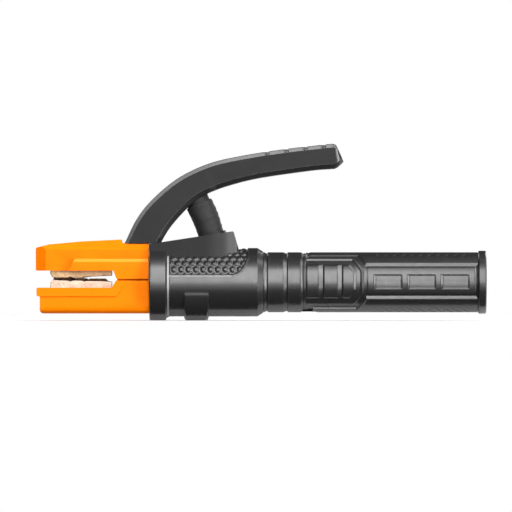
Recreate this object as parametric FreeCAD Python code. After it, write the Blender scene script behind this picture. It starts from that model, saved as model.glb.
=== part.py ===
"""Welding electrode holder, 300 A class: a spring-loaded copper jaw clamp on a tubular insulated handle.

Millimetres. The handle's axis is X, with the cable entry at X = 0 and the jaws at negative X. Z is up, towards
the lever, and Y is across. The lever, the upper jaw and its insulator turn together about the pivot pin.
"""

import FreeCAD, Part
import math
import os
from FreeCAD import Vector

# ---------------------------------------------------------------- driving dimensions
LENGTH = 240.0  # cable entry to the tip of the jaw insulators
HANDLE_R = 16.0  # outside of the handle tube
RIM_R = 16.8  # rim at the cable entry
BARREL_R = 18.25  # round part of the head housing
COLLAR_R = 20.3  # collar at the front of the head housing

HEAD_FRONT = -179.5  # front face of the head housing
HEAD_REAR = -118.9  # where the handle tube meets the head housing
JAW_FRONT = -232.2  # front ends of the two copper jaws
JAW_REAR = -199.4  # rear ends of the two copper jaws
INSULATOR_REAR = HEAD_FRONT - 0.6  # the insulators stop short of the housing by this gap

PIVOT = Vector(-174.5, 0, 12.0)  # centre of the lever's pivot pin
PIN_R = 3.0
HUB_R = 5.0
HUB_HALF = 4.5  # half width of the lever core at its hub
EAR_IN, EAR_OUT = 5.3, 8.5  # the clevis ears lie between these distances from the middle plane

LEVER_HALF = 8.0  # half width of the lever cover
CORE_HALF = 4.4  # half width of the metal core inside the lever
FIT = 0.1  # clearance round a part that sits in its own pocket
RUNNING = 0.05  # radial clearance of a pin or screw that turns in its hole

SPRING_TOP = Vector(-152.9, 0, 41.2)  # centre of the spring's seat on the lever
SPRING_FOOT = Vector(-147.0, 0, 26.4)  # where the spring's axis enters the housing's ramp
SLEEVE_R = 7.3
SPRING_MEAN_R = 4.9
SPRING_WIRE_R = 1.0
POCKET_DEPTH = 9.8
POCKET_R = 8.0
CUP_FLOOR = 1.0
SPRING_PLAY = 0.2  # gap at each end of the spring and its sleeve

SOCKET_FRONT, SOCKET_REAR = -112.0, -54.0  # cable socket
SOCKET_R = 10.5
CABLE_BORE_R = 7.0
CABLE_BORE_FRONT = -90.0
CLAMP_SCREW_X = (-80.0, -64.0)
CLAMP_SCREW_R = 4.0
JAW_SCREW_R, JAW_SCREW_HEAD_R, JAW_SCREW_HEAD = 1.6, 2.9, 1.6  # cap screws of the two jaws
INSULATOR_SCREW_R, INSULATOR_SCREW_HEAD_R = 2.0, 3.8  # countersunk screws of the two insulators
BODY_SCREW_R = 2.5  # screws of the housing and of the handle
HANDLE_SCREW_HEAD_R = 4.4
HEAD_LIP = 0.4  # straight rim of a countersunk head

X_AXIS, Y_AXIS, Z_AXIS = Vector(1, 0, 0), Vector(0, 1, 0), Vector(0, 0, 1)

# Pairs of points across the lever cover, from its root to its tip: on the outer edge and on the inner edge.
LEVER_STATIONS = [
    ((-192.3, 21.4), (-173.4, 21.4)),
    ((-187.1, 32.4), (-171.0, 25.6)),
    ((-173.3, 48.5), (-162.4, 36.2)),
    ((-157.5, 59.2), (-150.4, 46.4)),
    ((-131.2, 67.1), (-128.4, 53.8)),
    ((-103.9, 71.3), (-102.3, 58.2)),
    ((-82.2, 73.8), (-80.6, 60.4)),
]


# ---------------------------------------------------------------- helpers
def side_point(x, z, y=0.0):
    return Vector(x, y, z)


def slab(outline, half, middle=0.0):
    """Solid with that outline in the XZ plane, reaching half to each side of Y = middle."""
    points = [side_point(x, z, middle - half) for x, z in outline]
    wire = Part.makePolygon(points + [points[0]])
    return Part.Face(wire).extrude(Vector(0, 2 * half, 0))


def plan_slab(outline, low, high):
    """Solid with that outline in the XY plane, between two heights."""
    points = [Vector(x, y, low) for x, y in outline]
    wire = Part.makePolygon(points + [points[0]])
    return Part.Face(wire).extrude(Vector(0, 0, high - low))


def block(x0, x1, half, z0, z1):
    return Part.makeBox(x1 - x0, 2 * half, z1 - z0, Vector(x0, -half, z0))


def rod(start, direction, radius, length):
    return Part.makeCylinder(radius, length, start, direction)


def turned(profile):
    """Solid of revolution about the X axis, from (x, radius) points."""
    points = [side_point(x, r) for x, r in profile]
    wire = Part.makePolygon(points + [points[0]])
    return Part.Face(wire).revolve(Vector(0, 0, 0), X_AXIS, 360)


def tube(x0, x1, outer, inner):
    return rod(Vector(x0, 0, 0), X_AXIS, outer, x1 - x0).cut(rod(Vector(x0, 0, 0), X_AXIS, inner, x1 - x0))


def cross_bar(x, z, radius, half):
    """Round bar across the middle plane."""
    return rod(Vector(x, -half, z), Y_AXIS, radius, 2 * half)


def hexagon_bar(start, direction, across_flats, depth):
    """Hexagonal prism for a wrench socket."""
    corner = across_flats / math.sqrt(3)
    turns = [k * math.pi / 3 for k in range(6)]
    points = [Vector(corner * math.cos(a), corner * math.sin(a), 0) for a in turns]
    prism = Part.Face(Part.makePolygon(points + [points[0]])).extrude(Vector(0, 0, depth))
    prism.Placement = FreeCAD.Placement(start, FreeCAD.Rotation(Z_AXIS, direction))
    return prism


def flat_head_screw(top, direction, shaft_r, head_r, length, wrench):
    """Countersunk socket screw. top is the middle of its flat head, direction the way the shaft points."""
    cone = Part.makeCone(head_r, shaft_r, head_r - shaft_r, top + direction * HEAD_LIP, direction)
    screw = rod(top, direction, head_r, HEAD_LIP).fuse([cone, rod(top, direction, shaft_r, length)])
    return screw.cut(hexagon_bar(top - direction * 0.1, direction, wrench, head_r - shaft_r + HEAD_LIP))


def flat_head_hole(top, direction, shaft_r, head_r, length, recess=0.15):
    """The hole that such a screw sits in, open outwards."""
    seat = top + direction * (HEAD_LIP + recess)
    cone = Part.makeCone(head_r + FIT, shaft_r + FIT, head_r - shaft_r, seat, direction)
    mouth = rod(top - direction * 6, direction, head_r + FIT, 6 + HEAD_LIP + recess)
    return mouth.fuse([cone, rod(top, direction, shaft_r + FIT, length)])


def smooth_edge(points):
    curve = Part.BSplineCurve()
    curve.interpolate([side_point(x, z, 0) for x, z in points])
    return curve.toShape()


def across(station, share):
    """The point of a lever station that lies that share of the way from its outer edge to its inner edge."""
    (x0, z0), (x1, z1) = station
    return (x0 + (x1 - x0) * share, z0 + (z1 - z0) * share)


def lever_band(first_share, last_share, half, ending, stations=LEVER_STATIONS):
    """Curved bar that follows the lever between two shares of its thickness. ending lists its tip's points."""
    outer = [across(s, first_share) for s in stations]
    inner = [across(s, last_share) for s in stations]
    corners = [outer[-1]] + ending + [inner[-1]]
    tip = [Part.makeLine(side_point(*a), side_point(*b)) for a, b in zip(corners, corners[1:])]
    root = Part.makeLine(side_point(*inner[0]), side_point(*outer[0]))
    face = Part.Face(Part.Wire([smooth_edge(outer)] + tip + [smooth_edge(inner[::-1]), root]))
    bar = face.extrude(Vector(0, 2 * half, 0))
    bar.translate(Vector(0, -half, 0))
    return bar


# ---------------------------------------------------------------- spring axis
spring_down = (SPRING_FOOT - SPRING_TOP).normalize()
pocket_floor = SPRING_FOOT + spring_down * POCKET_DEPTH
spring_base = pocket_floor - spring_down * (CUP_FLOOR + SPRING_PLAY)
spring_length = (SPRING_TOP - spring_base).Length - SPRING_PLAY
spring_up = spring_down * -1


# ---------------------------------------------------------------- fixed metal parts
LAND_FRONT, LAND_REAR = -160.4, -148.4  # the shank's locating land inside the housing
LAND_R = 12.35
STUD_R = 6.0
STUD_END = -100.0
SLOT_HALF = 9.7  # half width of the slot that the lever swings in
ARM_HALF = 6.0
ARM_LOW, ARM_TOP = -11.0, -5.0


def conductor_body():
    """Cast body: the arm under the lower jaw, the clevis that holds the pivot, the shank and its stud."""
    arm = block(JAW_FRONT, INSULATOR_REAR, ARM_HALF, ARM_LOW, ARM_TOP)
    heel = slab([(-199.0, ARM_TOP), (-197.2, 0.2), (INSULATOR_REAR, 0.2), (INSULATOR_REAR, ARM_TOP)], ARM_HALF)
    clevis_base = block(INSULATOR_REAR, -167.0, SLOT_HALF - 0.3, ARM_LOW, 0.5)
    shank = rod(Vector(-170.0, 0, 0), X_AXIS, 8.0, HEAD_REAR + 170.0)
    land = rod(Vector(LAND_FRONT, 0, 0), X_AXIS, LAND_R, LAND_REAR - LAND_FRONT)
    stud = rod(Vector(HEAD_REAR, 0, 0), X_AXIS, STUD_R, STUD_END - HEAD_REAR)
    body = arm.fuse([heel, clevis_base, shank, land, stud])
    thick = EAR_OUT - EAR_IN
    for middle in (-(EAR_IN + thick / 2), EAR_IN + thick / 2):
        front, rear = PIVOT.x - HUB_R, PIVOT.x + HUB_R
        web = slab([(front, 0), (front, PIVOT.z), (rear, PIVOT.z), (rear, 0)], thick / 2, middle)
        eye = rod(Vector(PIVOT.x, middle - thick / 2, PIVOT.z), Y_AXIS, HUB_R, thick)
        body = body.fuse([web, eye])
    holes = [cross_bar(PIVOT.x, PIVOT.z, PIN_R + 0.02, 12)]
    holes += [rod(Vector(x, 0, ARM_LOW - 1), Z_AXIS, JAW_SCREW_R + RUNNING, 8) for x in LOWER_JAW_SCREW_X]
    holes.append(rod(Vector(LOWER_INSULATOR_SCREW_X, 0, ARM_LOW - 1), Z_AXIS, INSULATOR_SCREW_R + RUNNING, 5.2))
    holes.append(rod(Vector(HOUSING_SCREW_X, 0, -LAND_R - 1), Z_AXIS, BODY_SCREW_R + RUNNING, 9.4))
    return body.cut(holes).removeSplitter()


LOWER_JAW_SCREW_X = (-225.0, -206.0)
LOWER_INSULATOR_SCREW_X = -215.5
HOUSING_SCREW_X = -154.4
JAW_HALF = 6.4
# Where the transverse electrode grooves cross the jaws, and how far each is turned from straight across.
GROOVES = [(-219.4, 0.0), (-211.5, 32.0), (-204.4, -32.0)]
GROOVE_R = 1.3


def groove_cutters(height, drop_per_mm):
    """Round cutters across a jaw's gripping face. The face's height changes along X by drop_per_mm."""
    cutters = []
    for x, turn in GROOVES:
        way = Vector(math.sin(math.radians(turn)), math.cos(math.radians(turn)), 0)
        middle = Vector(x, 0, height + (x - JAW_FRONT) * drop_per_mm)
        cutters.append(rod(middle - way * 14, way, GROOVE_R, 28))
    return cutters


def lower_jaw():
    """Copper jaw with electrode grooves, bolted on the conductor's arm."""
    outline = [(JAW_FRONT, ARM_TOP), (JAW_FRONT, -0.6), (-230.4, 1.2), (-205.0, 0.6), (JAW_REAR, 0.2),
               (JAW_REAR, ARM_TOP)]
    jaw = slab(outline, JAW_HALF)
    lengthways = rod(Vector(JAW_FRONT - 1, 0, 1.3), X_AXIS, GROOVE_R, 40)
    holes = [rod(Vector(x, 0, ARM_TOP - 1), Z_AXIS, JAW_SCREW_R + RUNNING, 4.6) for x in LOWER_JAW_SCREW_X]
    return jaw.cut(groove_cutters(1.3, -0.02) + [lengthways] + holes)


def lower_jaw_screws():
    """Two small cap screws that hold the lower jaw from below."""
    screws = []
    for x in LOWER_JAW_SCREW_X:
        shaft = rod(Vector(x, 0, ARM_LOW), Z_AXIS, JAW_SCREW_R, 9.2)
        head = rod(Vector(x, 0, ARM_LOW - JAW_SCREW_HEAD), Z_AXIS, JAW_SCREW_HEAD_R, JAW_SCREW_HEAD)
        wrench = hexagon_bar(Vector(x, 0, ARM_LOW - JAW_SCREW_HEAD - 0.1), Z_AXIS, 2.5, 1.3)
        screws.append(shaft.fuse(head).cut(wrench))
    return Part.makeCompound(screws)


PAD_R = 12.7  # outside of the thick pad that the clamp screws are threaded in
FLARE = 1.2  # widening at the mouth of the cable's bore


def cable_socket():
    """Brass socket on the end of the stud, with the cable's bore and the clamp screws' thick pad."""
    body = rod(Vector(SOCKET_FRONT, 0, 0), X_AXIS, SOCKET_R, SOCKET_REAR - SOCKET_FRONT)
    pad = block(-88.0, -56.0, 6.5, -PAD_R, -6.0).common(rod(Vector(-88.0, 0, 0), X_AXIS, PAD_R, 32.0))
    body = body.fuse(pad)
    stud_hole = rod(Vector(SOCKET_FRONT - 1, 0, 0), X_AXIS, STUD_R + RUNNING, STUD_END + 1.5 - SOCKET_FRONT)
    cable_bore = rod(Vector(CABLE_BORE_FRONT, 0, 0), X_AXIS, CABLE_BORE_R, SOCKET_REAR - CABLE_BORE_FRONT)
    mouth = Vector(SOCKET_REAR - FLARE, 0, 0)
    flare = Part.makeCone(CABLE_BORE_R, CABLE_BORE_R + FLARE, FLARE, mouth, X_AXIS)
    screw_holes = [rod(Vector(x, 0, -14), Z_AXIS, CLAMP_SCREW_R + RUNNING, 12) for x in CLAMP_SCREW_X]
    handle_screw_hole = rod(Vector(HANDLE_SCREW_X, 0, -12), Z_AXIS, BODY_SCREW_R + RUNNING, 8.0)
    return body.cut([stud_hole, cable_bore, flare, handle_screw_hole] + screw_holes)


HANDLE_SCREW_X = -94.4


def clamp_screw(x):
    """Grub screw that presses on the cable, drawn backed off, with its tip just outside the cable's bore."""
    tip = -CABLE_BORE_R - 0.2
    length = 4.9
    body = rod(Vector(x, 0, tip - length), Z_AXIS, CLAMP_SCREW_R, length - 0.8)
    nose = Part.makeCone(CLAMP_SCREW_R, CLAMP_SCREW_R - 0.8, 0.8, Vector(x, 0, tip - 0.8), Z_AXIS)
    return body.fuse(nose).cut(hexagon_bar(Vector(x, 0, tip - length - 0.1), Z_AXIS, 4.0, 3.2))


PIN_HALF = 9.2


def pivot_pin():
    """Plain pin with a groove near each end for its retaining rings."""
    pin = cross_bar(PIVOT.x, PIVOT.z, PIN_R, PIN_HALF)
    for side in (-1, 1):
        groove = rod(Vector(PIVOT.x, side * 8.85 - 0.35, PIVOT.z), Y_AXIS, PIN_R + 1, 0.7)
        keep = rod(Vector(PIVOT.x, side * 8.85 - 0.35, PIVOT.z), Y_AXIS, PIN_R - 0.6, 0.7)
        pin = pin.cut(groove.cut(keep))
    return pin


def pivot_rings():
    """Retaining rings in the pin's grooves, outside the clevis ears, each open at its top."""
    rings = []
    for side in (-1, 1):
        start = Vector(PIVOT.x, side * 8.85 - 0.25, PIVOT.z)
        ring = rod(start, Y_AXIS, 4.6, 0.5).cut(rod(start, Y_AXIS, PIN_R - 0.5, 0.5))
        gap = Part.makeBox(2.4, 0.5, 6, start + Vector(-1.2, 0, 0))
        rings.append(ring.cut(gap))
    return Part.makeCompound(rings)


def pivot_washers():
    """Thin washers between the lever's hub and the two ears."""
    washers = []
    for side in (-1, 1):
        start = Vector(PIVOT.x, side * (HUB_HALF + EAR_IN) / 2 - 0.3, PIVOT.z)
        washers.append(rod(start, Y_AXIS, 4.9, 0.6).cut(rod(start, Y_AXIS, PIN_R + 0.08, 0.6)))
    return Part.makeCompound(washers)


# ---------------------------------------------------------------- insulating parts of the fixed body
RAMP_HALF = 11.5
RAMP_REAR_TOP = (-134.4, 27.25)
RAMP_FRONT_TOP = (HEAD_FRONT, 20.4)
CAVITY_R = 12.5
SPIGOT_R = 15.0
SPIGOT_LENGTH = 10.0
PATCH_FRONT, PATCH_REAR, PATCH_DEPTH = -168.9, -127.0, 0.5  # recessed grip patch on each side
BOSS_DROP = 2.15  # how far the screw boss's round underside lies below the barrel's


def head_housing():
    """Moulded head: collar, barrel, ramp with the lever's slot and the spring's pocket, and screw boss."""
    barrel = turned([
        (HEAD_FRONT, 0), (HEAD_FRONT, COLLAR_R - 0.4), (HEAD_FRONT + 0.4, COLLAR_R), (-171.0, COLLAR_R),
        (-169.9, COLLAR_R - 1.2), (-169.9, BARREL_R - 0.4), (-169.0, BARREL_R - 0.4), (-169.0, BARREL_R),
        (-121.9, BARREL_R), (HEAD_REAR, HANDLE_R + 0.2), (HEAD_REAR, 0),
    ])
    patch = slab([(PATCH_FRONT, 3.7), (-137.0, 3.7), (-131.5, 6.4), (-128.2, 11.2), (PATCH_REAR, 20.0),
                  (PATCH_FRONT, 20.0)], 30)
    barrel = barrel.cut(patch.common(tube(PATCH_FRONT, PATCH_REAR, 30.0, BARREL_R - PATCH_DEPTH)))
    boss = rod(Vector(-161.1, 0, -BOSS_DROP), X_AXIS, BARREL_R, 13.3).common(block(-162, -147, 30, -30, -5.7))
    boss_bevel = turned([(-161.1, 19.2), (-161.1, 24), (-159.9, 24), (-159.9, 20.5)])
    rear_bevel = turned([(-147.8, 19.2), (-147.8, 24), (-149.0, 24), (-149.0, 20.5)])
    boss = boss.cut([boss_bevel, rear_bevel])
    ramp = slab([(HEAD_FRONT, 0), RAMP_FRONT_TOP, RAMP_REAR_TOP, (-132.3, 17.8), (-131.0, 0)], RAMP_HALF)
    plan = plan_slab([(-181, -RAMP_HALF), (-140.4, -RAMP_HALF), (-131.5, -6.6), (-131.5, 6.6),
                      (-140.4, RAMP_HALF), (-181, RAMP_HALF)], -1, 30)
    ramp = ramp.common(plan)
    solid = barrel.fuse([boss, ramp])
    slot = block(HEAD_FRONT - 1, -162.0, SLOT_HALF, ARM_LOW - 0.2, 40)
    cavity = rod(Vector(-172.0, 0, 0), X_AXIS, CAVITY_R, 60)
    seat = rod(Vector(HEAD_REAR - SPIGOT_LENGTH - 0.3, 0, 0), X_AXIS, SPIGOT_R + FIT, 20)
    pocket = rod(SPRING_FOOT - spring_down * 12, spring_down, POCKET_R, POCKET_DEPTH + 12)
    screw_way = rod(Vector(HOUSING_SCREW_X, 0, -24), Z_AXIS, BODY_SCREW_R + FIT, 14)
    screw_seat = rod(Vector(HOUSING_SCREW_X, 0, -24), Z_AXIS, 4.6, 7.4)
    return solid.cut([slot, cavity, seat, pocket, screw_way, screw_seat]).removeSplitter()


def housing_screw():
    """Socket cap screw that holds the housing to the conductor's land."""
    head_top = -20.0
    head = rod(Vector(HOUSING_SCREW_X, 0, head_top), Z_AXIS, 4.25, 3.4)
    shaft = rod(Vector(HOUSING_SCREW_X, 0, head_top + 3), Z_AXIS, BODY_SCREW_R, 12.0)
    return head.fuse(shaft).cut(hexagon_bar(Vector(HOUSING_SCREW_X, 0, head_top - 0.1), Z_AXIS, 4.0, 2.4))


RING_GROOVES = [(-118.0, -116.9), (-107.9, -106.4), (-98.6, -97.3)]  # start and end of each ring groove
GROOVE_DEPTH = 0.7
PANEL_X = (-64.0, -5.4)  # recessed panel on each side of the handle
PANEL_HALF_HEIGHT = 7.6
PANEL_DEPTH = 0.5
POCKET_STARTS = (-59.5, -41.6, -23.8)  # shallow oblong pockets in each side panel
POCKET_LENGTH = 14.8
POCKET_LOW, POCKET_HIGH = -3.6, 4.4
POCKET_SINK = 0.4
INNER_R = 13.2
ENTRY_R = 11.5
ENTRY_LENGTH = 20.0
RIM_FRONT = -4.4


def handle_grip():
    """Tubular handle with ring grooves, side panels with oblong pockets, a spigot in front and a rim behind."""
    spigot_front = HEAD_REAR - SPIGOT_LENGTH
    shoulder = HEAD_REAR + 0.1
    outline = [(spigot_front, 0), (spigot_front, SPIGOT_R), (shoulder, SPIGOT_R), (shoulder, HANDLE_R)]
    for start, end in RING_GROOVES:
        outline += [(start, HANDLE_R), (start + 0.3, HANDLE_R - GROOVE_DEPTH),
                    (end - 0.3, HANDLE_R - GROOVE_DEPTH), (end, HANDLE_R)]
    outline += [(RIM_FRONT - 0.7, HANDLE_R), (RIM_FRONT, RIM_R), (-0.4, RIM_R), (0, RIM_R - 0.4), (0, 0)]
    grip = turned(outline)
    skin = tube(PANEL_X[0], PANEL_X[1], 20, HANDLE_R - PANEL_DEPTH)
    cuts = [block(PANEL_X[0], PANEL_X[1], 20, -PANEL_HALF_HEIGHT, PANEL_HALF_HEIGHT).common(skin)]
    deeper = tube(PANEL_X[0], PANEL_X[1], 20, HANDLE_R - PANEL_DEPTH - POCKET_SINK)
    for start in POCKET_STARTS:
        cuts.append(block(start, start + POCKET_LENGTH, 20, POCKET_LOW, POCKET_HIGH).common(deeper))
    hollow = rod(Vector(spigot_front - 1, 0, 0), X_AXIS, INNER_R, -ENTRY_LENGTH - spigot_front + 1)
    entry = rod(Vector(-ENTRY_LENGTH - 1, 0, 0), X_AXIS, ENTRY_R, ENTRY_LENGTH + 2)
    seat = Vector(HANDLE_SCREW_X, 0, 0.2 - HANDLE_R)
    screw = flat_head_hole(seat, Z_AXIS, BODY_SCREW_R, HANDLE_SCREW_HEAD_R, 6)
    return grip.cut(cuts + [hollow, entry, screw])


def handle_screw():
    """Countersunk screw that holds the handle to the cable socket."""
    head = Vector(HANDLE_SCREW_X, 0, 0.4 - HANDLE_R)
    return flat_head_screw(head, Z_AXIS, BODY_SCREW_R, HANDLE_SCREW_HEAD_R, 11.0, 3.0)


FLANGE_HALF, LOWER_HALF = 13.4, 12.7
LOWER_TOP, LOWER_REAR_TOP, LOWER_BOTTOM = -2.9, 0.9, -16.6
FLANGE_LOW = -7.5
LIP_FRONT = -LENGTH
LOWER_FRONT = -238.2
INSULATOR_CAVITY_HALF = 6.9
CAVITY_FRONT = -233.4


def lower_jaw_insulator():
    """Trough under the lower jaw, open above and behind, with a proud band along its upper edge."""
    body = slab([
        (LOWER_FRONT, LOWER_TOP), (JAW_REAR, LOWER_TOP), (-197.4, LOWER_REAR_TOP),
        (INSULATOR_REAR, LOWER_REAR_TOP), (INSULATOR_REAR, LOWER_BOTTOM),
        (LOWER_FRONT + 2.6, LOWER_BOTTOM), (LOWER_FRONT, LOWER_BOTTOM + 3.2),
    ], LOWER_HALF)
    band = slab([
        (LIP_FRONT, LOWER_TOP), (JAW_REAR, LOWER_TOP), (-197.4, LOWER_REAR_TOP), (-191.9, LOWER_REAR_TOP),
        (-197.1, FLANGE_LOW), (LIP_FRONT + 0.8, FLANGE_LOW), (LIP_FRONT, FLANGE_LOW + 0.8),
    ], FLANGE_HALF)
    shell = body.fuse(band)
    cut = 3.4
    for side in (-1, 1):
        edge = side * LOWER_HALF
        corners = [(edge - side * cut, LOWER_BOTTOM), (edge - side * cut, LOWER_BOTTOM - 1),
                   (edge + side, LOWER_BOTTOM - 1), (edge + side, LOWER_BOTTOM + cut),
                   (edge, LOWER_BOTTOM + cut)]
        wedge = [Vector(-250, y, z) for y, z in corners + corners[:1]]
        shell = shell.cut(Part.Face(Part.makePolygon(wedge)).extrude(Vector(80, 0, 0)))
    trough = block(CAVITY_FRONT, INSULATOR_REAR + 1, INSULATOR_CAVITY_HALF, ARM_LOW, 5)
    head_room = [rod(Vector(x, 0, ARM_LOW - 1.8), Z_AXIS, 3.1, 2) for x in LOWER_JAW_SCREW_X]
    screw = flat_head_hole(Vector(LOWER_INSULATOR_SCREW_X, 0, LOWER_BOTTOM), Z_AXIS,
                           INSULATOR_SCREW_R, INSULATOR_SCREW_HEAD_R, 7)
    return shell.cut([trough, screw] + head_room)


def lower_insulator_screw():
    """Countersunk screw that holds the lower insulator to the conductor's arm."""
    return flat_head_screw(Vector(LOWER_INSULATOR_SCREW_X, 0, LOWER_BOTTOM + 0.2), Z_AXIS,
                           INSULATOR_SCREW_R, INSULATOR_SCREW_HEAD_R, 9.0, 2.5)


def spring_cup():
    """Thin cup that lines the housing's spring pocket."""
    shell = rod(pocket_floor, spring_up, POCKET_R - 0.05, POCKET_DEPTH - 1.5)
    return shell.cut(rod(pocket_floor + spring_up * CUP_FLOOR, spring_up, SLEEVE_R + 0.15, POCKET_DEPTH))


def lever_spring():
    """Compression spring, with closed ends."""
    turns = 6.5
    height = spring_length - 2 * SPRING_WIRE_R
    helix = Part.makeHelix(height / turns, height, SPRING_MEAN_R)
    start = Vector(SPRING_MEAN_R, 0, 0)
    section = Part.Wire(Part.makeCircle(SPRING_WIRE_R, start, Y_AXIS))
    coil = Part.Wire(helix).makePipeShell([section], True, True)
    foot = spring_base + spring_up * SPRING_WIRE_R
    coil.Placement = FreeCAD.Placement(foot, FreeCAD.Rotation(Z_AXIS, spring_up))
    return coil


def spring_sleeve():
    """Rubber sleeve round the spring."""
    outside = rod(spring_base, spring_up, SLEEVE_R, spring_length)
    return outside.cut(rod(spring_base, spring_up, SPRING_MEAN_R + SPRING_WIRE_R + 0.25, spring_length))


# ---------------------------------------------------------------- parts that turn with the lever
UPPER_HALF = 9.4  # half width of the narrow upper part, which swings inside the housing's slot
CHEEK_HALF = 13.0
UPPER_BOTTOM = 6.2
CHEEK_BOTTOM = 1.8
UPPER_JAW_TOP = 9.4
ARM_CROWN = 13.3  # top of the lever core's arm
UPPER_JAW_SCREW_X = (-226.0, -205.0)
UPPER_INSULATOR_SCREW_X = -214.0
UPPER_SCREW_TOP = 21.4
CORE_SHARES = (0.3, 0.7)


def upper_jaw():
    """Copper jaw under the lever core's arm."""
    outline = [(JAW_FRONT, UPPER_JAW_TOP), (JAW_FRONT, 4.0), (-230.4, 1.45), (-222.0, 1.7),
               (-206.0, 3.3), (JAW_REAR, 3.7), (JAW_REAR, UPPER_JAW_TOP)]
    jaw = slab(outline, JAW_HALF)
    holes = [rod(Vector(x, 0, 5.0), Z_AXIS, JAW_SCREW_R + RUNNING, 6) for x in UPPER_JAW_SCREW_X]
    return jaw.cut(groove_cutters(1.45, 0.07) + holes)


def upper_jaw_screws():
    """Two small cap screws that hold the upper jaw from above."""
    screws = []
    for x in UPPER_JAW_SCREW_X:
        shaft = rod(Vector(x, 0, ARM_CROWN - 7.9), Z_AXIS, JAW_SCREW_R, 8.2)
        head = rod(Vector(x, 0, ARM_CROWN), Z_AXIS, JAW_SCREW_HEAD_R, JAW_SCREW_HEAD)
        wrench = hexagon_bar(Vector(x, 0, ARM_CROWN + JAW_SCREW_HEAD - 1.2), Z_AXIS, 2.5, 1.3)
        screws.append(shaft.fuse(head).cut(wrench))
    return Part.makeCompound(screws)


def lever_core():
    """Metal lever: the arm over the upper jaw, the hub on the pivot and the curved strip inside the cover."""
    arm = slab([(-231.0, UPPER_JAW_TOP), (-231.0, ARM_CROWN), (-197.0, ARM_CROWN),
        (-191.0, 18.5), (-184.0, 18.5),
                (-182.0, 8.0), (-184.0, UPPER_JAW_TOP)], CORE_HALF)
    neck = slab([(-191.0, 18.5), (-188.2, 25.0), (-178.0, 26.0), (-171.0, 15.0), (-170.6, 9.0), (-176.0, 7.4),
                 (-182.0, 8.0)], CORE_HALF)
    hub = cross_bar(PIVOT.x, PIVOT.z, HUB_R, HUB_HALF)
    strip = lever_band(*CORE_SHARES, CORE_HALF, [], LEVER_STATIONS[:-1] + [((-86.0, 73.4), (-84.6, 60.1))])
    core = arm.fuse([neck, hub, strip])
    holes = [rod(Vector(x, 0, 8), Z_AXIS, JAW_SCREW_R + RUNNING, 6) for x in UPPER_JAW_SCREW_X]
    holes.append(cross_bar(PIVOT.x, PIVOT.z, BUSH_R, 12))
    holes.append(rod(Vector(UPPER_INSULATOR_SCREW_X, 0, 9.9), Z_AXIS, INSULATOR_SCREW_R + RUNNING, 6))
    return core.cut(holes).removeSplitter()


BUSH_R = 3.9


def pivot_bush():
    """Bronze bush pressed into the lever's hub, which turns on the pin."""
    outside = cross_bar(PIVOT.x, PIVOT.z, BUSH_R - 0.01, HUB_HALF)
    return outside.cut(cross_bar(PIVOT.x, PIVOT.z, PIN_R + RUNNING, HUB_HALF + 1))


def upper_jaw_insulator():
    """Cover over the upper jaw: a narrow bevelled top and wider cheeks behind."""
    top = slab([
        (-LENGTH, UPPER_BOTTOM), (-LENGTH, 18.4), (-233.0, 20.2), (-215.4, 21.8), (-194.3, 22.8),
        (-193.9, 21.0), (INSULATOR_REAR, 21.0), (INSULATOR_REAR, CHEEK_BOTTOM),
        (-197.7, CHEEK_BOTTOM), (JAW_REAR, UPPER_BOTTOM),
    ], UPPER_HALF)
    shoulder = 17.4
    section = [Vector(-250, y, z) for y, z in [
        (-UPPER_HALF, 0), (-UPPER_HALF, shoulder), (-5.6, 23), (5.6, 23), (UPPER_HALF, shoulder),
        (UPPER_HALF, 0)]]
    top = top.common(Part.Face(Part.makePolygon(section + [section[0]])).extrude(Vector(80, 0, 0)))
    nose = plan_slab([(-LENGTH, -6.6), (-234.8, -UPPER_HALF), (-170, -UPPER_HALF), (-170, UPPER_HALF),
                      (-234.8, UPPER_HALF), (-LENGTH, 6.6)], 0, 30)
    top = top.common(nose)
    cheeks = slab([(-222.2, UPPER_BOTTOM), (-219.4, 11.6), (INSULATOR_REAR, 11.6),
                   (INSULATOR_REAR, CHEEK_BOTTOM),
                   (-197.7, CHEEK_BOTTOM), (JAW_REAR, UPPER_BOTTOM)], CHEEK_HALF)
    ledge = [Vector(-250, y, z) for y, z in [
        (-CHEEK_HALF, 0), (-CHEEK_HALF, 10.6), (-UPPER_HALF, 11.7), (UPPER_HALF, 11.7), (CHEEK_HALF, 10.6),
        (CHEEK_HALF, 0)]]
    cheeks = cheeks.common(Part.Face(Part.makePolygon(ledge + [ledge[0]])).extrude(Vector(80, 0, 0)))
    shell = top.fuse(cheeks)
    jaw_room = block(CAVITY_FRONT, INSULATOR_REAR + 1, INSULATOR_CAVITY_HALF, 0, ARM_CROWN)
    head_room = [rod(Vector(x, 0, ARM_CROWN - 0.1), Z_AXIS, 3.1, 2.0) for x in UPPER_JAW_SCREW_X]
    throat = slab([(-198.0, ARM_CROWN), (-192.2, 18.7), (-192.2, 24.0), (INSULATOR_REAR + 1, 24.0),
                   (INSULATOR_REAR + 1, ARM_CROWN - 1)], CORE_HALF + 0.3)
    screw = flat_head_hole(Vector(UPPER_INSULATOR_SCREW_X, 0, UPPER_SCREW_TOP + 0.2), Z_AXIS * -1,
                           INSULATOR_SCREW_R, INSULATOR_SCREW_HEAD_R, 9.5)
    return shell.cut([jaw_room, throat, screw] + head_room)


def upper_insulator_screw():
    """Countersunk screw that holds the upper insulator to the lever core's arm."""
    return flat_head_screw(Vector(UPPER_INSULATOR_SCREW_X, 0, UPPER_SCREW_TOP), Z_AXIS * -1,
                           INSULATOR_SCREW_R, INSULATOR_SCREW_HEAD_R, 10.5, 2.5)


THUMB_GROOVE_X = (-116.3, -105.9, -95.7, -86.1)
TIP = [(-79.8, 72.9), (-75.8, 65.2), (-77.4, 62.3)]
COVER_BEVEL = 1.5


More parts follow.
